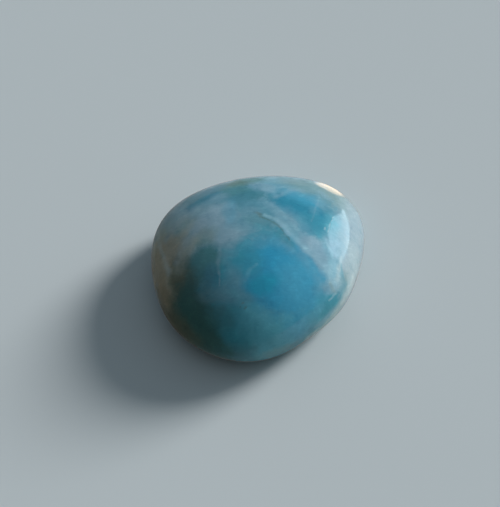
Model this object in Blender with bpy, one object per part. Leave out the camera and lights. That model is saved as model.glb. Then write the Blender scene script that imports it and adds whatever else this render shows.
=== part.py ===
"""A polished freeform larimar cabochon: one solid stone with a high dome and a flat back.

Seen from above it is a rounded triangle with a blunt tip at the front (-Y). The dome rises from the
girdle, which is the widest level, and below the girdle the side rolls under to the flat back.
The origin is the middle of the stone's footprint, on the plane that it rests on.
"""

import math

import bmesh
import bpy
from mathutils import Vector

# Driving sizes of the stone, in metres
MEAN_RADIUS = 0.01048
GIRDLE_HEIGHT = 0.0026
DOME_HEIGHT = 0.0062

# Radius of the flat back, as a share of the girdle's radius
BACK_SHARE = 0.72

# Exponents of the two profile curves: 2 is an ellipse, more is fuller
DOME_FULLNESS = 2.1
UNDERSIDE_FULLNESS = 2.1

# Soft lobes of the plan outline: how many, how far they stand out as a share of the mean radius,
# and the direction of the first one in degrees from +X towards +Y
LOBES = (
    (2, 0.072, 37.0),
    (3, 0.056, 31.5),
    (4, 0.017, -39.0),
    (5, 0.006, -34.0),
    (6, 0.009, -26.0),
)

# Share of the lobes that is gone at the top of the dome, where the plan is nearly round
LOBES_LOST_AT_TOP = 0.5

# Latitude of the mesh below which it lies on the flat back, in degrees
BACK_LATITUDE = 40.0

# Faces along each side of the cube that the mesh is rounded from
FACES_PER_SIDE = 22

# Surface: sky blue, as polished as glass but a little softer
STONE_BLUE = (0.085, 0.272, 0.352, 1.0)
STONE_ROUGHNESS = 0.16
STONE_IOR = 1.6


def clear_scene():
    for item in list(bpy.data.objects):
        bpy.data.objects.remove(item)


def superellipse(angle, fullness):
    """How far out and how far up a quarter curve has come, both from 0 to 1."""
    out = max(math.cos(angle), 0.0) ** (2.0 / fullness)
    up = math.sin(angle) ** (2.0 / fullness)
    return out, up


def plan_radius(direction, lobe_strength):
    """Radius of the outline in one direction, with its lobes at the given strength."""
    lobes = sum(
        share * math.cos(count * (direction - math.radians(first)))
        for count, share, first in LOBES
    )
    return MEAN_RADIUS * (1.0 + lobe_strength * lobes)


def dome_point(direction, latitude):
    out, up = superellipse(latitude, DOME_FULLNESS)
    radius = out * plan_radius(direction, 1.0 - LOBES_LOST_AT_TOP * math.sin(latitude))
    return radius, GIRDLE_HEIGHT + up * DOME_HEIGHT


def underside_point(direction, latitude):
    """Rolls under from the girdle to the flat back, then runs in level to its middle."""
    back_latitude = math.radians(BACK_LATITUDE)
    if latitude >= back_latitude:
        share = BACK_SHARE * math.cos(latitude) / math.cos(back_latitude)
        return share * plan_radius(direction, 1.0), 0.0
    out, down = superellipse(latitude / back_latitude * math.pi / 2.0, UNDERSIDE_FULLNESS)
    share = BACK_SHARE + (1.0 - BACK_SHARE) * out
    return share * plan_radius(direction, 1.0), GIRDLE_HEIGHT * (1.0 - down)


def stone_point(point):
    """The place on the stone of a point on the unit sphere."""
    direction = math.atan2(point.y, point.x)
    latitude = math.asin(max(-1.0, min(1.0, point.z)))
    if latitude >= 0.0:
        radius, height = dome_point(direction, latitude)
    else:
        radius, height = underside_point(direction, -latitude)
    return Vector((radius * math.cos(direction), radius * math.sin(direction), height))


def round_cube(faces_per_side):
    """A unit sphere of even four-sided faces, with no pole."""
    mesh = bmesh.new()
    bmesh.ops.create_cube(mesh, size=2.0)
    bmesh.ops.subdivide_edges(mesh, edges=mesh.edges, cuts=faces_per_side - 1, use_grid_fill=True)
    for vertex in mesh.verts:
        even = Vector([math.tan(side * math.pi / 4.0) for side in vertex.co])
        vertex.co = even.normalized()
    return mesh


def centre_footprint(mesh):
    """Moves the mesh so that the middle of its outline, seen from above, is the origin."""
    across = [vertex.co.x for vertex in mesh.verts]
    along = [vertex.co.y for vertex in mesh.verts]
    middle = Vector(((min(across) + max(across)) / 2.0, (min(along) + max(along)) / 2.0, 0.0))
    bmesh.ops.translate(mesh, verts=mesh.verts, vec=-middle)


def stone_material():
    material = bpy.data.materials.new("polished_larimar")
    material.use_nodes = True
    surface = material.node_tree.nodes["Principled BSDF"]
    surface.inputs["Base Color"].default_value = STONE_BLUE
    surface.inputs["Metallic"].default_value = 0.0
    surface.inputs["Roughness"].default_value = STONE_ROUGHNESS
    surface.inputs["IOR"].default_value = STONE_IOR
    return material


def make_stone():
    shape = round_cube(FACES_PER_SIDE)
    for vertex in shape.verts:
        vertex.co = stone_point(vertex.co)
    centre_footprint(shape)
    bmesh.ops.recalc_face_normals(shape, faces=shape.faces)
    mesh = bpy.data.meshes.new("larimar_stone")
    shape.to_mesh(mesh)
    shape.free()
    mesh.shade_smooth()
    mesh.materials.append(stone_material())
    stone = bpy.data.objects.new("larimar_stone", mesh)
    bpy.context.scene.collection.objects.link(stone)
    return stone


def main():
    clear_scene()
    make_stone()


main()
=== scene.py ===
import math
from collections import namedtuple

import bmesh
import bpy
from mathutils import Matrix, Vector, noise
from mathutils.bvhtree import BVHTree


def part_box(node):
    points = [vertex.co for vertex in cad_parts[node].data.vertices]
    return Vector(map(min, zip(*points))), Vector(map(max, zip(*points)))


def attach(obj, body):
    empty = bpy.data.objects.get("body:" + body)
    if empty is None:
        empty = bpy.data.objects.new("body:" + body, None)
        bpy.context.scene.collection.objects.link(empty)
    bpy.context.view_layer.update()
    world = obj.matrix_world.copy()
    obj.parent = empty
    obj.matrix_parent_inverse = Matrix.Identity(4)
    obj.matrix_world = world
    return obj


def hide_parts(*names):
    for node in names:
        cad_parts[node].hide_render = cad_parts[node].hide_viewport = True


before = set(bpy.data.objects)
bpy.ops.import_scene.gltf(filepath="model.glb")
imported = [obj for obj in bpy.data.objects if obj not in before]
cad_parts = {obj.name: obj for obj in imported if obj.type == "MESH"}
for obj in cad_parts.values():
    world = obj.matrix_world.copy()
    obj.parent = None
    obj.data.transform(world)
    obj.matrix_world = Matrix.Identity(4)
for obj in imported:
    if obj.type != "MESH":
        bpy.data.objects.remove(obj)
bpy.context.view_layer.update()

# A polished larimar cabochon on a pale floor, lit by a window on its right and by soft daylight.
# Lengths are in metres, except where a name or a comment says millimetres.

MM = 0.001

# Shape of the stone, as in its solid
MEAN_RADIUS = 0.01048
GIRDLE_HEIGHT = 0.0026
DOME_HEIGHT = 0.0062
BACK_SHARE = 0.72
DOME_FULLNESS = 2.1
UNDERSIDE_FULLNESS = 2.1
LOBES = (
    (2, 0.072, 37.0),
    (3, 0.056, 31.5),
    (4, 0.017, -39.0),
    (5, 0.006, -34.0),
    (6, 0.009, -26.0),
)
LOBES_LOST_AT_TOP = 0.5
BACK_LATITUDE = 40.0

# The finer surface: faces along each side of the cube that it is rounded from,
# and the slow waves that hand polishing leaves
FACES_PER_SIDE = 110
WAVE_LENGTH = 4.5 * MM
WAVE_DEPTH = 0.03 * MM

# The camera: how it looks down, how far off it stands, the point of the stone that it aims at, and the
# scale of the photograph, where 213 pixels show 21 mm at the distance of that point
PHOTO_SIZE = (500, 507)
LOOK_DOWN = math.radians(55.0)
CAMERA_DISTANCE = 0.140
AIM = Vector((-0.0001, 0.0005, 0.0040))
AIM_PIXEL = (257.7, 256.2)
PIXELS_PER_METRE = 213.0 / 0.021
PIXELS_PER_MILLIMETRE = PIXELS_PER_METRE * MM
SENSOR = 36.0

CAMERA_FORWARD = Vector((0.0, math.cos(LOOK_DOWN), -math.sin(LOOK_DOWN)))
CAMERA_RIGHT = Vector((1.0, 0.0, 0.0))
CAMERA_UP = Vector((0.0, math.sin(LOOK_DOWN), math.cos(LOOK_DOWN)))
UP = Vector((0.0, 0.0, 1.0))
FOCAL_PIXELS = PIXELS_PER_METRE * CAMERA_DISTANCE

# Patches near the rim are seen aslant. They are spread over the surface as if it faced the camera at
# least this much.
LEAST_FACING = 0.45

# Colours of the stone, as linear red, green and blue
MILK = (0.27, 0.43, 0.51)
MOONLIT = (0.25, 0.375, 0.44)
PEARL = (0.34, 0.425, 0.46)
CHALK = (0.50, 0.58, 0.57)
SURF = (0.42, 0.58, 0.58)
WHITISH = (0.34, 0.54, 0.60)
LAVENDER = (0.28, 0.41, 0.47)
MIST = (0.20, 0.36, 0.42)
HAZE = (0.15, 0.34, 0.41)
ASH = (0.42, 0.46, 0.39)
# Pale grey with a painted warm reflection of brown ground
PALE_WITH_WARM_BOUNCE = (0.39, 0.34, 0.25)
# Painted shade with a painted warm reflection of brown ground
BROWN_BOUNCE_IN_SHADE = (0.13, 0.12, 0.07)
CELADON = (0.25, 0.34, 0.32)
LICHEN = (0.17, 0.27, 0.26)
SKY = (0.030, 0.330, 0.51)
DEEP_SKY = (0.012, 0.335, 0.47)
HAZY_SKY = (0.085, 0.385, 0.53)
LAGOON = (0.14, 0.45, 0.53)
FOAM = (0.14, 0.51, 0.60)
SEA = (0.045, 0.31, 0.385)
OCEAN = (0.05, 0.27, 0.35)
DEEP_OCEAN = (0.028, 0.235, 0.33)
TEAL = (0.08, 0.25, 0.31)
DEEP_TEAL = (0.035, 0.195, 0.235)
DUSK_TEAL = (0.07, 0.23, 0.24)
DUSK_BLUE = (0.05, 0.215, 0.285)
MOSS = (0.09, 0.145, 0.11)
OLIVE = (0.15, 0.155, 0.10)
# The stone's dark teal with painted shade
DEEP_TEAL_IN_PAINTED_SHADE = (0.04, 0.13, 0.118)
SEA_GREEN = (0.05, 0.15, 0.12)

# How far clouds and finer wisps move the edge of a patch in and out, as shares of twice its reach
CLOUD_RAGGEDNESS = 0.30
WISP_RAGGEDNESS = 0.12

# The sides that the photograph doesn't show lie low and away from the camera. The direction towards the
# seen side, how far along it in millimetres there are hidden colours alone below and seen ones alone
# above, and the hidden side's cells and seams.
TOWARDS_SEEN = (0.0, -0.245, 1.0)
HIDDEN_BELOW = 0.6
SEEN_ABOVE = 2.6
CELLS_PER_MILLIMETRE = 0.24
SEAM_STRENGTH = 0.85
SEAM_RAGGEDNESS = 0.16

# What the faint clouds and the fibres multiply the colour by, and how the fibres lie
BRIGHT_CLOUD = (1.20, 1.14, 1.11)
DULL_CLOUD = (0.82, 0.88, 0.90)
BRIGHT_FIBRE = (1.14, 1.12, 1.10)
FIBRE_TURN = (0.3, 0.2, 0.9)
FIBRE_STRETCH = (1.0, 5.0, 2.0)

# The stone's finish: roughness where it is polished and where the back is only ground, the heights in
# millimetres between which one gives way to the other, and the depth of ripples and grain in micrometres
STONE_IOR = 1.6
POLISHED_ROUGHNESS = (0.04, 0.09)
BACK_ROUGHNESS = (0.38, 0.52)
BACK_BELOW = 0.05
POLISHED_ABOVE = 0.25
MICROMETRE = 0.001 * MM
RIPPLE_DEPTH = 7.0
GRAIN_DEPTH = 0.25

# How much of the light shines back from inside the stone, and how far red, green and blue spread there,
# as shares of a reach
INNER_LIGHT = 0.25
INNER_SPREAD = (0.6, 0.9, 1.0)
INNER_REACH = 0.8 * MM

# The floor, and just above it a glowing sheet that paints the ground that reflections show
FLOOR_SIZE = 6.0
FLOOR_HEIGHT = -0.02 * MM
FLOOR_COLOUR = (0.66, 0.64, 0.615, 1.0)
FLOOR_ROUGHNESS = 0.9
PAINTED_REFLECTION_HEIGHT = -0.01 * MM

# Lights: sizes in metres, radiance and strength in watts per square metre, and directions in degrees
# round from +X towards +Y, with degrees up
WINDOW_AZIMUTH = 25.0
WINDOW_DISTANCE = 3.0
WINDOW_MIDDLE = (0.20, 0.93)
WINDOW_SIZE = (2.64, 1.86)
WINDOW_COLOUR = (0.65, 0.90, 1.0)
WINDOW_RADIANCE = 2.8

# The lit pane in the window: the way each edge faces, in degrees from sideways towards up, and how far
# it stands from the window's foot straight ahead of the stone, in metres. A small round spot of light
# joins its side.
PANE_EDGES = (
    (-90.0, -0.09),
    (-123.0, 0.006),
    (0.0, 1.14),
    (40.0, 1.64),
    (90.0, 1.76),
    (142.6, 1.14),
    (159.7, 0.80),
)
PANE_NOTCH = (1.2, 0.21)
PANE_NOTCH_RADIUS = 0.18
PANE_RAGGEDNESS = 0.7
PANE_SOFTNESS = 0.07
DAYLIGHT_FROM = (36.0, 25.0)
DAYLIGHT_SPREAD = math.radians(20.0)
DAYLIGHT_COLOUR = (0.87, 0.95, 1.0)
DAYLIGHT_STRENGTH = 3.4

# The studio around the stone: dark on one side, bright on the other, with a glow low on the window's side
STUDIO_DARK = (0.045, 0.035, 0.025)
STUDIO_BRIGHT = (0.20, 0.28, 0.34)
STUDIO_GLOW = (0.7, 0.8, 0.85)
BRIGHT_FROM = (60.0, 45.0)
GLOW_FROM = (20.0, 0.0)

# The painted reflection of the ground, with lengths in millimetres: the direction in which it turns pale and
# lit, and where, how far the stone's painted shade reaches, the side where no shade lies, its colours, and
# the painted sunlit spot's middle and reach
PALE_TOWARDS = (30.0, 0.0)
DUSKY_TO_PALE = (-14.0, 8.0)
SHADE_FADES = (7.0, 13.0)
UNSHADED_TOWARDS = (-15.0, 0.0)
SHADED_TO_UNSHADED = (2.0, 8.0)
DUSKY_GROUND = (0.06, 0.045, 0.03)
SHADED_GROUND = (0.035, 0.035, 0.033)
PALE_GROUND = (0.38, 0.37, 0.35)
SUNLIT_GROUND = (2.4, 1.72, 1.12)
SUNLIT_MIDDLE = (13.1, 25.2, 0.0)
SUNLIT_REACH = (14.0, 3.3, 1.0)
SUNLIT_TURN = math.radians(69.0)

# A patch is one cloud of colour. Its middle is where the photograph shows it, in pixels. Its reach is half
# its length and half its width in the photograph, in pixels, and its turn is in degrees from the
# photograph's right towards its top. Softness is the share of the reach over which it fades out.
Patch = namedtuple("Patch", "middle reach turn colour strength softness")
PATCHES = (
    # The sea of blue across the front
    Patch((262, 318), (98, 82), -6, SEA, 1.0, 0.25),
    Patch((258, 352), (66, 16), 12, OCEAN, 0.7, 1.0),
    Patch((252, 353), (52, 9), 10, HAZE, 0.5, 1.0),
    Patch((285, 318), (52, 24), 22, LAGOON, 0.95, 0.9),
    Patch((268, 330), (30, 12), 12, FOAM, 0.7, 1.0),
    Patch((250, 316), (9, 12), 0, FOAM, 0.4, 1.0),
    Patch((277, 305), (20, 7), -12, FOAM, 0.5, 1.0),
    Patch((281, 308), (18, 6), -12, CELADON, 0.25, 1.0),
    Patch((307, 297), (12, 9), 60, LAVENDER, 0.15, 1.0),
    Patch((296, 330), (15, 13), 20, HAZY_SKY, 0.6, 1.0),
    Patch((215, 348), (14, 6), -20, SEA, 0.5, 1.0),
    # The sky-blue heart
    Patch((280, 274), (44, 36), -20, SKY, 0.95, 0.7),
    Patch((306, 284), (26, 30), 30, HAZY_SKY, 0.7, 0.9),
    Patch((264, 284), (15, 10), 20, DEEP_SKY, 0.8, 1.0),
    Patch((246, 262), (16, 16), 0, SEA, 0.6, 1.0),
    Patch((258, 240), (22, 8), 10, HAZE, 0.35, 1.0),
    Patch((296, 246), (22, 12), -35, OCEAN, 0.25, 1.0),
    Patch((243, 300), (10, 8), 0, HAZE, 0.5, 1.0),
    Patch((229, 290), (20, 11), 65, HAZE, 0.6, 1.0),
    Patch((228, 250), (9, 7), 0, HAZE, 0.45, 1.0),
    Patch((322, 291), (9, 9), 0, HAZE, 0.35, 1.0),
    # The pale shoulder between the two blues
    Patch((256, 204), (19, 8), -8, HAZE, 0.85, 1.0),
    Patch((260, 211), (24, 9), -10, HAZE, 0.9, 0.9),
    Patch((264, 211), (18, 9), -20, TEAL, 0.55, 1.0),
    Patch((243, 224), (22, 9), 10, HAZE, 0.8, 0.9),
    Patch((264, 228), (16, 9), 0, HAZE, 0.4, 1.0),
    Patch((250, 212), (12, 5), 0, LAVENDER, 0.2, 1.0),
    Patch((262, 221), (17, 6), -8, DUSK_TEAL, 0.35, 1.0),
    Patch((268, 230), (15, 6), -10, SEA, 0.4, 1.0),
    Patch((285, 240), (11, 4.5), -45, DUSK_TEAL, 0.4, 1.0),
    Patch((259, 215), (4.5, 2.0), -30, OLIVE, 0.35, 1.3),
    Patch((290, 222), (18, 7), -40, MIST, 0.8, 0.8),
    Patch((312, 246), (16, 9), -35, MOONLIT, 0.85, 0.9),
    Patch((323, 259), (13, 9), -58, MOONLIT, 0.9, 0.9),
    Patch((314, 244), (7, 5), -40, PEARL, 0.4, 1.0),
    Patch((318, 237), (9, 6), -30, LAVENDER, 0.65, 1.0),
    Patch((319, 248), (8, 7), -60, MILK, 0.35, 1.0),
    Patch((334, 272), (7, 14), 0, WHITISH, 0.95, 0.8),
    # The second blue, behind it
    Patch((310, 207), (38, 18), -25, TEAL, 0.9, 0.6),
    Patch((301, 208), (31, 11), -28, DEEP_OCEAN, 0.95, 0.6),
    Patch((304, 197), (22, 6), -20, HAZY_SKY, 0.45, 1.0),
    Patch((294, 207), (20, 4), -38, DEEP_OCEAN, 0.8, 0.9),
    Patch((312, 225), (18, 11), -25, OCEAN, 0.9, 0.6),
    Patch((306, 229), (8, 5), -30, DEEP_OCEAN, 0.35, 1.0),
    Patch((331, 208), (12, 9), 0, TEAL, 0.7, 0.9),
    Patch((322, 203), (8, 5), -20, MIST, 0.4, 1.0),
    Patch((276, 192), (13, 5), 10, OCEAN, 0.4, 1.0),
    Patch((303, 188), (15, 4), -8, MILK, 0.4, 1.0),
    Patch((314, 211), (6, 4), -30, HAZE, 0.35, 1.0),
    # The far rim
    Patch((282, 182), (36, 6), -3, HAZE, 0.9, 0.8),
    Patch((262, 187), (12, 4), -12, LAVENDER, 0.7, 1.0),
    Patch((249, 180), (14, 4), 6, DUSK_TEAL, 0.9, 1.0),
    Patch((294, 181), (12, 3), -5, MILK, 0.4, 1.0),
    Patch((308, 186), (28, 7), -16, LICHEN, 0.65, 1.1),
    Patch((344, 202), (21, 9), -45, LICHEN, 1.0, 1.0),
    Patch((346, 205), (11, 5), -55, DUSK_TEAL, 0.45, 1.2),
    Patch((351, 220), (18, 7), -75, LICHEN, 0.35, 1.0),
    Patch((351, 211), (14, 6), -68, CELADON, 0.7, 1.0),
    # The cloudy left shoulder and its blotches
    Patch((228, 194), (38, 10), 12, TEAL, 0.8, 0.9),
    Patch((247, 195), (18, 6), 0, DEEP_TEAL, 0.75, 1.2),
    Patch((235, 204), (18, 9), 10, TEAL, 0.65, 1.0),
    Patch((236, 184), (14, 3), 8, SEA_GREEN, 0.75, 1.5),
    Patch((208, 193), (17, 6), 24, DUSK_BLUE, 0.85, 1.0),
    Patch((235, 189), (14, 5), 8, DUSK_TEAL, 0.7, 1.0),
    Patch((217, 198), (11, 4), 20, LAVENDER, 0.3, 1.0),
    Patch((194, 198), (15, 5), 30, DUSK_BLUE, 0.5, 1.0),
    Patch((188, 211), (13, 6), 40, TEAL, 0.5, 1.0),
    Patch((186, 206), (17, 8), 38, DEEP_TEAL, 0.5, 1.0),
    Patch((212, 218), (22, 12), 25, LAVENDER, 0.9, 0.9),
    Patch((229, 212), (6, 13), 0, HAZY_SKY, 0.35, 1.0),
    Patch((227, 212), (7, 5), 0, TEAL, 0.3, 1.0),
    Patch((188, 221), (22, 9), 45, LAVENDER, 0.8, 0.9),
    Patch((172, 218), (17, 9), 52, LAVENDER, 0.75, 1.0),
    Patch((191, 202), (15, 6), 38, TEAL, 0.7, 1.0),
    Patch((225, 236), (19, 10), 18, LAVENDER, 0.85, 1.0),
    Patch((204, 236), (12, 8), 20, CELADON, 0.7, 0.9),
    # The grey left side: its own grey, with a painted warm reflection of brown ground in its tan and brown
    # patches
    Patch((168, 240), (28, 19), 62, ASH, 0.95, 0.9),
    Patch((164, 264), (30, 19), 86, PALE_WITH_WARM_BOUNCE, 0.9, 0.9),
    Patch((170, 288), (24, 11), 105, PALE_WITH_WARM_BOUNCE, 0.9, 0.9),
    Patch((170, 316), (32, 11), 118, BROWN_BOUNCE_IN_SHADE, 0.8, 1.0),
    Patch((163, 295), (17, 6), 107, PALE_WITH_WARM_BOUNCE, 0.4, 1.0),
    Patch((174, 279), (12, 7), 100, ASH, 0.5, 1.0),
    Patch((175, 278), (14, 6), 100, PALE_WITH_WARM_BOUNCE, 0.35, 1.0),
    Patch((186, 262), (11, 6), 70, PALE_WITH_WARM_BOUNCE, 0.3, 1.0),
    Patch((171, 217), (15, 7), 55, WHITISH, 0.55, 1.0),
    Patch((179, 228), (8, 6), 45, WHITISH, 0.3, 1.0),
    # The dusky corner: the stone's own dark teal, olive and moss, with painted shade and a painted warm
    # reflection of brown ground over them
    Patch((202, 263), (22, 16), 75, DUSK_TEAL, 0.95, 0.7),
    # Olive, moss and brown here are partly painted: a warm reflection of brown ground in shade
    Patch((185, 283), (24, 10), 100, MOSS, 0.85, 1.0),
    Patch((177, 280), (20, 8), 100, OLIVE, 0.85, 1.0),
    Patch((179, 285), (15, 6), 100, BROWN_BOUNCE_IN_SHADE, 0.35, 1.0),
    Patch((212, 276), (14, 8), 85, DUSK_BLUE, 0.7, 0.9),
    # Painted shade where the lower left turns away from the light, over the stone's dark teal
    Patch((191, 304), (23, 18), 105, DEEP_TEAL_IN_PAINTED_SHADE, 0.95, 1.1),
    Patch((196, 326), (30, 20), 130, DEEP_TEAL_IN_PAINTED_SHADE, 0.9, 1.1),
    Patch((207, 343), (34, 17), -24, DEEP_TEAL_IN_PAINTED_SHADE, 0.8, 1.4),
    Patch((239, 326), (17, 20), 0, SEA, 0.7, 1.0),
    Patch((220, 318), (14, 12), 0, DUSK_TEAL, 0.4, 1.0),
    Patch((255, 324), (17, 13), -40, FOAM, 0.4, 1.0),
    Patch((181, 329), (22, 7), 133, BROWN_BOUNCE_IN_SHADE, 0.45, 1.0),
    Patch((210, 297), (11, 8), 0, DUSK_TEAL, 0.3, 1.0),
    Patch((210, 296), (12, 7), 0, LAVENDER, 0.2, 1.0),
    Patch((267, 337), (22, 13), -28, FOAM, 0.45, 1.0),
    Patch((273, 350), (20, 8), 20, FOAM, 0.65, 1.0),
    Patch((279, 351), (18, 4), 20, CELADON, 0.35, 1.0),
    # Tan and green specks
    Patch((243.5, 304), (1.3, 1.0), 0, OLIVE, 0.6, 1.0),
    Patch((245.5, 308.5), (1.4, 1.1), 30, MOSS, 0.6, 1.0),
    Patch((241, 307.5), (0.8, 0.8), 0, MOSS, 0.5, 1.0),
    # The right side
    Patch((333, 227), (12, 8), 80, LAGOON, 0.5, 1.0),
    Patch((328, 219), (6, 5), -30, OCEAN, 0.35, 1.0),
    # Painted highlight: a small bright fleck of the window's reflection beside its left edge
    Patch((325.5, 229), (1.6, 1.1), -40, CHALK, 0.5, 1.0),
    Patch((333, 247), (16, 9), 85, LAVENDER, 0.4, 1.0),
    Patch((360, 245), (54, 12), 86, PEARL, 0.95, 1.0),
    Patch((348, 265), (12, 7), 75, PEARL, 0.9, 1.0),
    Patch((353, 270), (26, 8), 78, CHALK, 0.5, 1.0),
    Patch((343, 285), (12, 5), 65, CELADON, 0.55, 1.0),
    Patch((333, 287), (10, 8), 60, LAVENDER, 0.5, 1.0),
    Patch((339, 291), (8, 5), 50, PEARL, 0.4, 1.0),
    Patch((339, 283), (11, 5), 85, WHITISH, 0.35, 1.0),
    Patch((347, 289), (9, 2.5), 65, SEA, 0.3, 1.0),
    Patch((330, 283), (7, 7), 30, LAVENDER, 0.3, 1.0),
    Patch((322, 302), (7, 7), 0, SEA, 0.4, 1.0),
    Patch((326, 321), (14, 5), 45, FOAM, 0.6, 1.0),
    Patch((313, 316), (7, 5), 30, SEA, 0.35, 1.0),
    Patch((331, 304), (15, 5), 48, SEA, 0.9, 0.8),
)

# A vein is a seam of another colour: the pixels that it passes, and its half width along each run between
# them, in millimetres. Softness is the share of the half width over which it fades out, to each side.
Vein = namedtuple("Vein", "path widths colour strength softness")
VEINS = (
    # Along the pale shoulder
    Vein(((281, 217), (290, 225), (298, 235)), (0.25, 0.3), HAZE, 0.6, 1.4),
    Vein(
        ((271, 206), (286, 212), (298, 221), (307, 233), (314, 244)),
        (0.4, 0.5, 0.5, 0.4),
        MILK, 0.3, 1.6,
    ),
    Vein(
        ((265, 215), (275, 219), (283, 225), (290, 233), (297, 241), (305, 248)),
        (0.14, 0.18, 0.25, 0.25, 0.2),
        WHITISH, 0.55, 1.4,
    ),
    Vein(((263, 217), (273, 222), (282, 230), (289, 239)), (0.08, 0.1, 0.08), MOSS, 0.45, 1.4),
    Vein(
        ((307, 249), (315, 256), (323, 265), (328, 274), (332, 284)),
        (0.3, 0.3, 0.3, 0.25),
        WHITISH, 0.35, 1.6,
    ),
    Vein(
        ((282, 244), (298, 252), (307, 261), (315, 271), (321, 285)),
        (0.4, 0.4, 0.4, 0.35),
        LAVENDER, 0.25, 1.8,
    ),
    Vein(((320, 234), (326, 246), (330, 260)), (0.3, 0.3), LAGOON, 0.25, 1.6),
    Vein(((326, 240), (331, 252), (335, 266), (335, 282)), (0.12, 0.14, 0.12), WHITISH, 0.6, 1.2),
    # Painted highlight: a thin bright line along the left edge of the window's reflection
    Vein(((333, 217), (330, 224), (327.5, 232)), (0.05, 0.06), CHALK, 0.5, 1.2),
    Vein(((341, 257), (339.5, 267), (337, 279)), (0.12, 0.25), CHALK, 0.6, 1.2),
    Vein(((330, 284), (333, 290), (336, 293)), (0.15, 0.12), CELADON, 0.5, 1.4),
    # Painted reflection: a thin bright sliver where the rim mirrors the horizon
    Vein(((336, 293), (333, 296), (329, 300)), (0.12, 0.1), WHITISH, 0.7, 0.9),
    # On the left
    Vein(((176, 262), (183, 248), (193, 234), (204, 222)), (0.25, 0.35, 0.35), PEARL, 0.4, 1.8),
    Vein(((165, 240), (172, 230), (181, 219), (194, 210)), (0.3, 0.5, 0.5), LAVENDER, 0.35, 1.8),
    Vein(((186, 240), (196, 226), (210, 214), (226, 206)), (0.35, 0.5, 0.5), LAVENDER, 0.35, 1.8),
    Vein(((178, 232), (190, 219), (204, 209)), (0.3, 0.35), DUSK_TEAL, 0.3, 1.8),
    Vein(((192, 244), (184, 257), (178, 270)), (0.5, 0.4), ASH, 0.45, 1.8),
    Vein(((158, 232), (159.5, 245), (163, 257), (169, 272)), (0.2, 0.2, 0.25), CHALK, 0.45, 1.5),
    Vein(
        ((223, 232), (219.5, 247), (218, 262), (219, 275), (219, 286)),
        (0.14, 0.16, 0.1, 0.06),
        LAVENDER, 0.45, 1.4,
    ),
    Vein(((222, 254), (229, 268), (238, 282), (243, 300)), (0.35, 0.4, 0.3), HAZE, 0.45, 1.6),
    Vein(((204, 286), (218, 291), (230, 296)), (0.4, 0.4), HAZE, 0.35, 1.8),
    # In the blues
    Vein(((245, 279), (250, 269), (257, 264)), (0.14, 0.1), WHITISH, 0.15, 1.8),
    Vein(((320, 197), (316, 208), (311, 221)), (0.08, 0.08), LAVENDER, 0.22, 1.4),
    Vein(((276, 197), (283, 193), (291, 190), (302, 190)), (0.2, 0.25, 0.2), LAVENDER, 0.45, 1.6),
    Vein(
        ((236, 294), (246, 308), (257, 321), (267, 334), (280, 344)),
        (0.35, 0.3, 0.25, 0.2),
        FOAM, 0.35, 1.8,
    ),
    # Down the right edge
    Vein(((351, 284), (345, 298), (336, 312)), (0.7, 0.7), CHALK, 0.9, 1.0),
    Vein(((337, 311), (324, 325), (308, 338)), (0.65, 0.4), SURF, 0.85, 1.2),
    Vein(((332, 310), (324, 319), (316, 326)), (0.25, 0.2), MILK, 0.4, 1.6),
    Vein(
        ((341, 264), (342, 273), (344, 284), (340, 297), (331, 307), (320, 316)),
        (0.08, 0.15, 0.3, 0.35, 0.25),
        SEA, 0.5, 1.5,
    ),
    Vein(((341, 274), (343, 286), (338, 297)), (0.15, 0.15), MIST, 0.5, 1.2),
)


def fine_stone_mesh():
    """The stone's formula on a fine round cube, fitted to the solid's own box."""
    shape = round_cube(FACES_PER_SIDE)
    for vertex in shape.verts:
        vertex.co = stone_point(vertex.co)
    fit_to_box(shape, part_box("larimar_stone"))
    bmesh.ops.recalc_face_normals(shape, faces=shape.faces)
    polish_waves(shape)
    return shape


def superellipse(angle, fullness):
    """How far out and how far up a quarter curve has come, both from 0 to 1."""
    out = max(math.cos(angle), 0.0) ** (2.0 / fullness)
    up = math.sin(angle) ** (2.0 / fullness)
    return out, up


def plan_radius(direction, lobe_strength):
    """Radius of the outline in one direction, with its lobes at the given strength."""
    lobes = sum(
        share * math.cos(count * (direction - math.radians(first)))
        for count, share, first in LOBES
    )
    return MEAN_RADIUS * (1.0 + lobe_strength * lobes)


def dome_point(direction, latitude):
    out, up = superellipse(latitude, DOME_FULLNESS)
    radius = out * plan_radius(direction, 1.0 - LOBES_LOST_AT_TOP * math.sin(latitude))
    return radius, GIRDLE_HEIGHT + up * DOME_HEIGHT


def underside_point(direction, latitude):
    """Rolls under from the girdle to the flat back, then runs in level to its middle."""
    back_latitude = math.radians(BACK_LATITUDE)
    if latitude >= back_latitude:
        share = BACK_SHARE * math.cos(latitude) / math.cos(back_latitude)
        return share * plan_radius(direction, 1.0), 0.0
    out, down = superellipse(latitude / back_latitude * math.pi / 2.0, UNDERSIDE_FULLNESS)
    share = BACK_SHARE + (1.0 - BACK_SHARE) * out
    return share * plan_radius(direction, 1.0), GIRDLE_HEIGHT * (1.0 - down)


def stone_point(point):
    """The place on the stone of a point on the unit sphere."""
    direction = math.atan2(point.y, point.x)
    latitude = math.asin(max(-1.0, min(1.0, point.z)))
    if latitude >= 0.0:
        radius, height = dome_point(direction, latitude)
    else:
        radius, height = underside_point(direction, -latitude)
    return Vector((radius * math.cos(direction), radius * math.sin(direction), height))


def round_cube(faces_per_side):
    """A unit sphere of even four-sided faces, with no pole."""
    mesh = bmesh.new()
    bmesh.ops.create_cube(mesh, size=2.0)
    bmesh.ops.subdivide_edges(mesh, edges=mesh.edges, cuts=faces_per_side - 1, use_grid_fill=True)
    for vertex in mesh.verts:
        even = Vector([math.tan(side * math.pi / 4.0) for side in vertex.co])
        vertex.co = even.normalized()
    return mesh


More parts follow.
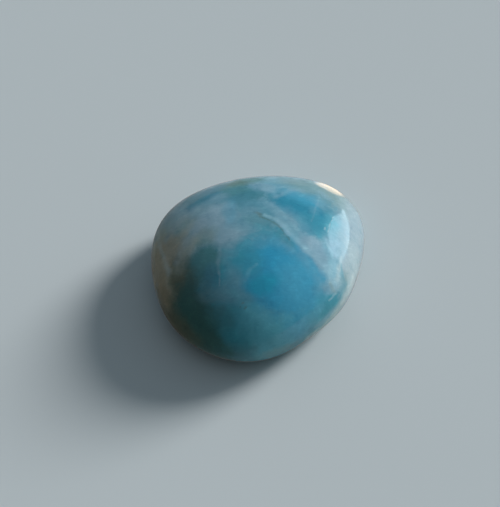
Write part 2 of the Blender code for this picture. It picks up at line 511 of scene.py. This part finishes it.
def fit_to_box(mesh, box):
    """Stretches the mesh so that it fills the box."""
    low, high = box
    own_low = Vector([min(vertex.co[axis] for vertex in mesh.verts) for axis in range(3)])
    own_high = Vector([max(vertex.co[axis] for vertex in mesh.verts) for axis in range(3)])
    for vertex in mesh.verts:
        for axis in range(3):
            share = (vertex.co[axis] - own_low[axis]) / (own_high[axis] - own_low[axis])
            vertex.co[axis] = low[axis] + share * (high[axis] - low[axis])


def polish_waves(mesh):
    """Lowers the surface a little here and there, so that reflections bend as on a hand-polished stone."""
    mesh.normal_update()
    moved = []
    for vertex in mesh.verts:
        rise = min(vertex.co.z / GIRDLE_HEIGHT, 1.0)
        wave = 0.5 + 0.5 * noise.noise(vertex.co / WAVE_LENGTH)
        moved.append(vertex.co - vertex.normal * WAVE_DEPTH * wave * rise)
    for vertex, place in zip(mesh.verts, moved):
        vertex.co = place


def make_stone():
    shape = fine_stone_mesh()
    surface = BVHTree.FromBMesh(shape)
    mesh = bpy.data.meshes.new("polished_stone")
    shape.to_mesh(mesh)
    shape.free()
    mesh.shade_smooth()
    stone = bpy.data.objects.new("polished_stone", mesh)
    bpy.context.scene.collection.objects.link(stone)
    mesh.materials.append(stone_material(surface))
    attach(stone, "root")
    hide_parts("larimar_stone")


class Graph:
    """Adds shader nodes to one node tree, and links them as it goes."""

    def __init__(self, tree):
        self.tree = tree

    def plug(self, socket, value):
        if isinstance(value, bpy.types.NodeSocket):
            self.tree.links.new(value, socket)
        else:
            socket.default_value = value

    def add(self, kind, inputs, **settings):
        node = self.tree.nodes.new("ShaderNode" + kind)
        for name, value in settings.items():
            setattr(node, name, value)
        for name, value in inputs.items():
            self.plug(node.inputs[name], value)
        return node

    def math(self, operation, first, second=0.0):
        return self.add("Math", {0: first, 1: second}, operation=operation).outputs[0]

    def vector(self, operation, first, second, output="Vector"):
        return self.add("VectorMath", {0: first, 1: second}, operation=operation).outputs[output]

    def scaled(self, vector, scale):
        return self.add("VectorMath", {0: vector, "Scale": scale}, operation="SCALE").outputs[0]

    def step(self, value, start, end, low=0.0, high=1.0):
        """Eases from low to high while the value goes from start to end."""
        inputs = {"Value": value, "From Min": start, "From Max": end, "To Min": low, "To Max": high}
        return self.add("MapRange", inputs, interpolation_type="SMOOTHSTEP", clamp=False).outputs[0]

    def between(self, share, first, second):
        return self.add("Mix", {0: share, 2: first, 3: second}).outputs[0]

    def mix(self, share, first, second):
        """Colour mix; a colour is three numbers or a socket."""
        colours = [c if isinstance(c, bpy.types.NodeSocket) else (*c, 1.0) for c in (first, second)]
        return self.add("Mix", {0: share, 6: colours[0], 7: colours[1]}, data_type="RGBA").outputs[2]

    def shaded(self, share, colour, tint):
        """The colour, multiplied by the tint where the share is one."""
        inputs = {0: share, 6: colour, 7: (*tint, 1.0)}
        return self.add("Mix", inputs, data_type="RGBA", blend_type="MULTIPLY").outputs[2]

    def noise(self, place, scale, detail=3.0, roughness=0.5, output="Fac"):
        inputs = {"Vector": place, "Scale": scale, "Detail": detail, "Roughness": roughness}
        return self.add("TexNoise", inputs).outputs[output]

    def warp(self, place, scale, amount, detail=2.0):
        """Pushes places about by up to half the amount."""
        push = self.vector("SUBTRACT", self.noise(place, scale, detail, output="Color"), (0.5, 0.5, 0.5))
        return self.vector("ADD", place, self.scaled(push, amount))


def on_stone(surface, pixel):
    """The point of the stone that the photograph shows at a pixel, in millimetres, and its outward normal."""
    across = (pixel[0] - AIM_PIXEL[0]) / FOCAL_PIXELS
    down = (pixel[1] - AIM_PIXEL[1]) / FOCAL_PIXELS
    eye = AIM - CAMERA_FORWARD * CAMERA_DISTANCE
    ray = CAMERA_FORWARD + CAMERA_RIGHT * across - CAMERA_UP * down
    point, normal, _, _ = surface.ray_cast(eye, ray.normalized())
    return point / MM, normal


def along_surface(direction, normal):
    """The direction along the stone's surface that the photograph shows as the given direction."""
    slope = direction.dot(normal) / max(-CAMERA_FORWARD.dot(normal), LEAST_FACING)
    return direction + CAMERA_FORWARD * slope


def patch_share(graph, place, ragged, surface, patch):
    """How much of a patch's colour there is at each place, from 0 to its strength."""
    middle, normal = on_stone(surface, patch.middle)
    turn = math.radians(patch.turn)
    along = along_surface(CAMERA_RIGHT * math.cos(turn) + CAMERA_UP * math.sin(turn), normal)
    across = along_surface(CAMERA_UP * math.cos(turn) - CAMERA_RIGHT * math.sin(turn), normal)
    length = patch.reach[0] / PIXELS_PER_MILLIMETRE * along.length
    width = patch.reach[1] / PIXELS_PER_MILLIMETRE * across.length
    along.normalize()
    axes = Matrix((along, normal.cross(along), normal)).transposed()
    double_reach = (2.0 * length, 2.0 * width, 3.0 * max(length, width))
    inputs = {"Vector": place, "Location": middle, "Rotation": axes.to_euler(), "Scale": double_reach}
    local = graph.add("Mapping", inputs, vector_type="TEXTURE").outputs[0]
    # One at the patch's middle, a half at its reach, and nothing at twice its reach
    near = graph.add("TexGradient", {"Vector": local}, gradient_type="SPHERICAL").outputs["Fac"]
    near = graph.math("SUBTRACT", near, ragged)
    return graph.step(near, 0.5 - patch.softness / 4.0, 0.5 + patch.softness / 4.0, 0.0, patch.strength)


def vein_share(graph, place, broken, surface, vein):
    """How much of a vein's colour there is at each place, from 0 to its strength."""
    points = [on_stone(surface, pixel)[0] for pixel in vein.path]
    nearest = None
    for start, end, width in zip(points, points[1:], vein.widths):
        run = end - start
        offset = graph.vector("SUBTRACT", place, start)
        along = graph.vector("DOT_PRODUCT", offset, run, output="Value")
        along = graph.math("MULTIPLY", along, 1.0 / run.length_squared)
        along = graph.math("MINIMUM", graph.math("MAXIMUM", along, 0.0), 1.0)
        distance = graph.vector("DISTANCE", offset, graph.scaled(run, along), output="Value")
        distance = graph.math("MULTIPLY", distance, 1.0 / width)
        nearest = distance if nearest is None else graph.math("MINIMUM", nearest, distance)
    share = graph.step(nearest, 1.0 + vein.softness, max(1.0 - vein.softness, 0.0), 0.0, vein.strength)
    return graph.math("MULTIPLY", share, broken)


def cell_colour(graph, place):
    """Blue cells between milky seams, as on the sides of the stone that the photograph doesn't show."""
    bent = graph.warp(place, scale=0.35, amount=2.5)
    cells = {"Vector": bent, "Scale": CELLS_PER_MILLIMETRE}
    kind = graph.add("TexVoronoi", cells).outputs["Color"]
    kind = graph.add("SeparateColor", {"Color": kind}).outputs[0]
    colour = graph.mix(graph.step(kind, 0.1, 0.5), SEA, LAGOON)
    colour = graph.mix(graph.step(kind, 0.5, 0.7), colour, MIST)
    colour = graph.mix(graph.step(kind, 0.75, 0.95), colour, OCEAN)
    edge = graph.add("TexVoronoi", cells, feature="DISTANCE_TO_EDGE").outputs["Distance"]
    wisp = graph.math("MULTIPLY", graph.noise(place, 1.6, 4.0), SEAM_RAGGEDNESS)
    seam = graph.step(graph.math("SUBTRACT", edge, wisp), 0.10, -0.06, 0.0, SEAM_STRENGTH)
    return graph.mix(seam, colour, MILK)


def raggedness(graph, mottle, fine):
    """How far the edges of the patches move in or out at each place, by as much either way."""
    clouds = graph.math("MULTIPLY", mottle, CLOUD_RAGGEDNESS)
    wisps = graph.math("MULTIPLY", fine, WISP_RAGGEDNESS)
    middle = (CLOUD_RAGGEDNESS + WISP_RAGGEDNESS) / 2.0
    return graph.math("SUBTRACT", graph.math("ADD", clouds, wisps), middle)


def stone_colour(graph, place, surface):
    """Milky clouds in front and cells behind, then the patches, the veins and the grain over them."""
    cloudy = graph.warp(graph.warp(place, scale=0.5, amount=1.0), scale=1.7, amount=0.4)
    wispy = graph.warp(graph.warp(place, scale=1.1, amount=0.4), scale=4.0, amount=0.14)
    mottle = graph.noise(cloudy, 0.8, 5.0, 0.55)
    ragged = raggedness(graph, mottle, graph.noise(cloudy, 3.0, 4.0, 0.6))
    front = graph.mix(graph.step(mottle, 0.38, 0.62), MIST, MILK)
    height = graph.vector("DOT_PRODUCT", cloudy, TOWARDS_SEEN, output="Value")
    seen = graph.step(height, HIDDEN_BELOW, SEEN_ABOVE)
    colour = graph.mix(seen, cell_colour(graph, place), front)
    for patch in PATCHES:
        colour = graph.mix(patch_share(graph, cloudy, ragged, surface, patch), colour, patch.colour)
    broken = graph.step(graph.noise(place, 1.3, 4.0), 0.30, 0.60, 0.55, 1.0)
    for vein in VEINS:
        colour = graph.mix(vein_share(graph, wispy, broken, surface, vein), colour, vein.colour)
    return grained(graph, place, colour)


def grained(graph, place, colour):
    """Adds the faint clouds and the felt of short fibres that run through the whole stone."""
    cloud = graph.noise(graph.warp(place, scale=0.9, amount=0.8), 1.1, 6.0, 0.6)
    colour = graph.shaded(graph.step(cloud, 0.50, 0.75), colour, BRIGHT_CLOUD)
    colour = graph.shaded(graph.step(cloud, 0.48, 0.28), colour, DULL_CLOUD)
    bent = graph.warp(place, scale=0.6, amount=1.5)
    strands = graph.add("Mapping", {"Vector": bent, "Rotation": FIBRE_TURN, "Scale": FIBRE_STRETCH})
    fibre = graph.noise(strands.outputs[0], 1.3, 5.0, 0.6)
    return graph.shaded(graph.step(fibre, 0.45, 0.74), colour, BRIGHT_FIBRE)


def stone_roughness(graph, place):
    """A polish with faint scuffs, and a flat back that is only ground."""
    height = graph.add("SeparateXYZ", {"Vector": place}).outputs[2]
    back = graph.step(height, POLISHED_ABOVE, BACK_BELOW)
    scuffs = graph.noise(place, 2.2, 5.0, 0.6)
    polish = graph.step(scuffs, 0.35, 0.70, *POLISHED_ROUGHNESS)
    grind = graph.step(scuffs, 0.3, 0.7, *BACK_ROUGHNESS)
    return graph.between(back, polish, grind)


def stone_relief(graph, place):
    """The ripples and the grain that the polish has left."""
    ripple = graph.math("MULTIPLY", graph.noise(place, 1.6, 3.0), RIPPLE_DEPTH)
    grain = graph.math("MULTIPLY", graph.noise(place, 9.0, 3.0), GRAIN_DEPTH)
    bump = {"Height": graph.math("ADD", ripple, grain), "Strength": 1.0, "Distance": MICROMETRE}
    return graph.add("Bump", bump).outputs["Normal"]


def stone_material(surface):
    material = bpy.data.materials.new("polished_larimar")
    material.use_nodes = True
    graph = Graph(material.node_tree)
    shader = material.node_tree.nodes["Principled BSDF"]
    coordinates = graph.add("TexCoord", {}).outputs["Object"]
    place = graph.scaled(coordinates, 1.0 / MM)
    graph.plug(shader.inputs["Base Color"], stone_colour(graph, place, surface))
    graph.plug(shader.inputs["Roughness"], stone_roughness(graph, place))
    graph.plug(shader.inputs["Normal"], stone_relief(graph, place))
    shader.inputs["IOR"].default_value = STONE_IOR
    shader.inputs["Subsurface Weight"].default_value = INNER_LIGHT
    shader.inputs["Subsurface Radius"].default_value = INNER_SPREAD
    shader.inputs["Subsurface Scale"].default_value = INNER_REACH
    return material


def make_floor():
    bpy.ops.mesh.primitive_plane_add(size=FLOOR_SIZE, location=(0.0, 0.0, FLOOR_HEIGHT))
    floor = bpy.context.object
    floor.name = "floor"
    material = bpy.data.materials.new("pale_floor")
    material.use_nodes = True
    shader = material.node_tree.nodes["Principled BSDF"]
    shader.inputs["Base Color"].default_value = FLOOR_COLOUR
    shader.inputs["Roughness"].default_value = FLOOR_ROUGHNESS
    shader.inputs["Specular IOR Level"].default_value = 0.0
    floor.data.materials.append(material)


def painted_reflection_colour(graph, place):
    """Painted reflection: pale ground on one side and dusky on the other, with the stone's painted shade and
    a painted sunlit spot.
    """
    side = graph.vector("DOT_PRODUCT", place, compass(*PALE_TOWARDS), output="Value")
    colour = graph.mix(graph.step(side, *DUSKY_TO_PALE), DUSKY_GROUND, PALE_GROUND)
    # Painted shade of the stone around its foot, except on the side where none falls
    from_stone = graph.vector("LENGTH", place, (0.0, 0.0, 0.0), output="Value")
    clear = graph.step(from_stone, *SHADE_FADES)
    unshaded = graph.vector("DOT_PRODUCT", place, compass(*UNSHADED_TOWARDS), output="Value")
    unshaded = graph.step(unshaded, *SHADED_TO_UNSHADED)
    colour = graph.mix(graph.math("MAXIMUM", clear, unshaded), SHADED_GROUND, colour)
    # Painted pool of sunlight, which the far rim mirrors as a warm streak
    turn = (0.0, 0.0, SUNLIT_TURN)
    axes = {"Vector": place, "Location": SUNLIT_MIDDLE, "Rotation": turn, "Scale": SUNLIT_REACH}
    local = graph.add("Mapping", axes, vector_type="TEXTURE").outputs[0]
    distance = graph.vector("LENGTH", local, (0.0, 0.0, 0.0), output="Value")
    return graph.mix(graph.step(distance, 1.15, 0.7), colour, SUNLIT_GROUND)


def make_painted_reflection_sheet():
    """A glowing sheet that paints the ground's reflection, there only for the stone's rim to mirror."""
    bpy.ops.mesh.primitive_plane_add(size=FLOOR_SIZE, location=(0.0, 0.0, PAINTED_REFLECTION_HEIGHT))
    ground = bpy.context.object
    ground.name = "painted_reflection_sheet"
    ground.visible_camera = False
    ground.visible_diffuse = False
    ground.visible_shadow = False
    material = bpy.data.materials.new("painted_reflection_sheet")
    material.use_nodes = True
    material.cycles.emission_sampling = "NONE"
    graph = Graph(material.node_tree)
    place = graph.scaled(graph.add("TexCoord", {}).outputs["Object"], 1.0 / MM)
    glow = graph.add("Emission", {"Color": painted_reflection_colour(graph, place)})
    output = material.node_tree.nodes["Material Output"]
    graph.plug(output.inputs["Surface"], glow.outputs[0])
    ground.data.materials.append(material)


def make_camera():
    data = bpy.data.cameras.new("camera")
    camera = bpy.data.objects.new("camera", data)
    bpy.context.scene.collection.objects.link(camera)
    middle = (PHOTO_SIZE[0] / 2.0, PHOTO_SIZE[1] / 2.0)
    right = (middle[0] - AIM_PIXEL[0]) / PIXELS_PER_METRE
    down = (middle[1] - AIM_PIXEL[1]) / PIXELS_PER_METRE
    camera.location = AIM - CAMERA_FORWARD * CAMERA_DISTANCE + CAMERA_RIGHT * right - CAMERA_UP * down
    camera.rotation_euler = (math.pi / 2.0 - LOOK_DOWN, 0.0, 0.0)
    data.sensor_width = SENSOR
    data.lens = SENSOR * FOCAL_PIXELS / max(PHOTO_SIZE)
    data.clip_start = 0.005
    bpy.context.scene.camera = camera


def compass(azimuth, elevation):
    """The unit vector that points that many degrees round from +X towards +Y, and that many up."""
    a = math.radians(azimuth)
    e = math.radians(elevation)
    return Vector((math.cos(e) * math.cos(a), math.cos(e) * math.sin(a), math.sin(e)))


def add_light(data, direction):
    """Adds a light that shines from the given direction."""
    light = bpy.data.objects.new(data.name, data)
    bpy.context.scene.collection.objects.link(light)
    light.rotation_euler = (-direction).to_track_quat("-Z", "Y").to_euler()
    return light


def light_pane(data, towards, along):
    """Lights only the pane of the window: all that lies inside its edges, and the notch."""
    data.use_nodes = True
    graph = Graph(data.node_tree)
    place = graph.add("NewGeometry", {}).outputs["Position"]
    outside = None
    for facing, limit in PANE_EDGES:
        facing = math.radians(facing)
        outward = along * math.cos(facing) + UP * math.sin(facing)
        reach = graph.math("SUBTRACT", graph.vector("DOT_PRODUCT", place, outward, output="Value"), limit)
        outside = reach if outside is None else graph.math("MAXIMUM", outside, reach)
    notch = towards * WINDOW_DISTANCE + along * PANE_NOTCH[0] + UP * PANE_NOTCH[1]
    from_notch = graph.vector("DISTANCE", place, notch, output="Value")
    outside = graph.math("MINIMUM", outside, graph.math("SUBTRACT", from_notch, PANE_NOTCH_RADIUS))
    ragged = graph.math("SUBTRACT", graph.noise(place, 5.0, 4.0, 0.6), 0.5)
    outside = graph.math("ADD", outside, graph.math("MULTIPLY", ragged, PANE_RAGGEDNESS))
    share = graph.step(outside, PANE_SOFTNESS, -PANE_SOFTNESS)
    glow = graph.add("Emission", {"Color": (1.0, 1.0, 1.0, 1.0), "Strength": share})
    output = data.node_tree.nodes["Light Output"]
    graph.plug(output.inputs["Surface"], glow.outputs[0])


def make_window():
    """A large window on the right, which the stone mirrors."""
    towards = compass(WINDOW_AZIMUTH, 0.0)
    along = compass(WINDOW_AZIMUTH + 90.0, 0.0)
    data = bpy.data.lights.new("window", "AREA")
    data.shape = "RECTANGLE"
    data.size, data.size_y = WINDOW_SIZE
    data.color = WINDOW_COLOUR
    data.energy = WINDOW_RADIANCE * math.pi * WINDOW_SIZE[0] * WINDOW_SIZE[1]
    window = add_light(data, towards)
    window.location = towards * WINDOW_DISTANCE + along * WINDOW_MIDDLE[0] + UP * WINDOW_MIDDLE[1]
    window.visible_camera = False
    light_pane(data, towards, along)


def make_daylight():
    """Soft daylight that only the colours see."""
    data = bpy.data.lights.new("daylight", "SUN")
    data.angle = DAYLIGHT_SPREAD
    data.color = DAYLIGHT_COLOUR
    data.energy = DAYLIGHT_STRENGTH
    daylight = add_light(data, compass(*DAYLIGHT_FROM))
    daylight.visible_glossy = False


def make_world():
    world = bpy.data.worlds.new("studio")
    bpy.context.scene.world = world
    world.use_nodes = True
    graph = Graph(world.node_tree)
    direction = graph.add("TexCoord", {}).outputs["Generated"]
    bright = graph.vector("DOT_PRODUCT", direction, compass(*BRIGHT_FROM), output="Value")
    colour = graph.mix(graph.step(bright, -0.6, 0.95), STUDIO_DARK, STUDIO_BRIGHT)
    ahead = graph.vector("DOT_PRODUCT", direction, compass(*GLOW_FROM), output="Value")
    height = graph.vector("DOT_PRODUCT", direction, UP, output="Value")
    glow = graph.math("MULTIPLY", graph.step(ahead, 0.6, 1.0), graph.step(height, 0.2, 0.03))
    colour = graph.mix(glow, colour, STUDIO_GLOW)
    background = world.node_tree.nodes["Background"]
    graph.plug(background.inputs["Color"], colour)


def main():
    make_floor()
    make_painted_reflection_sheet()
    make_stone()
    make_camera()
    make_window()
    make_daylight()
    make_world()
    bpy.context.scene.view_settings.view_transform = "Standard"


main()
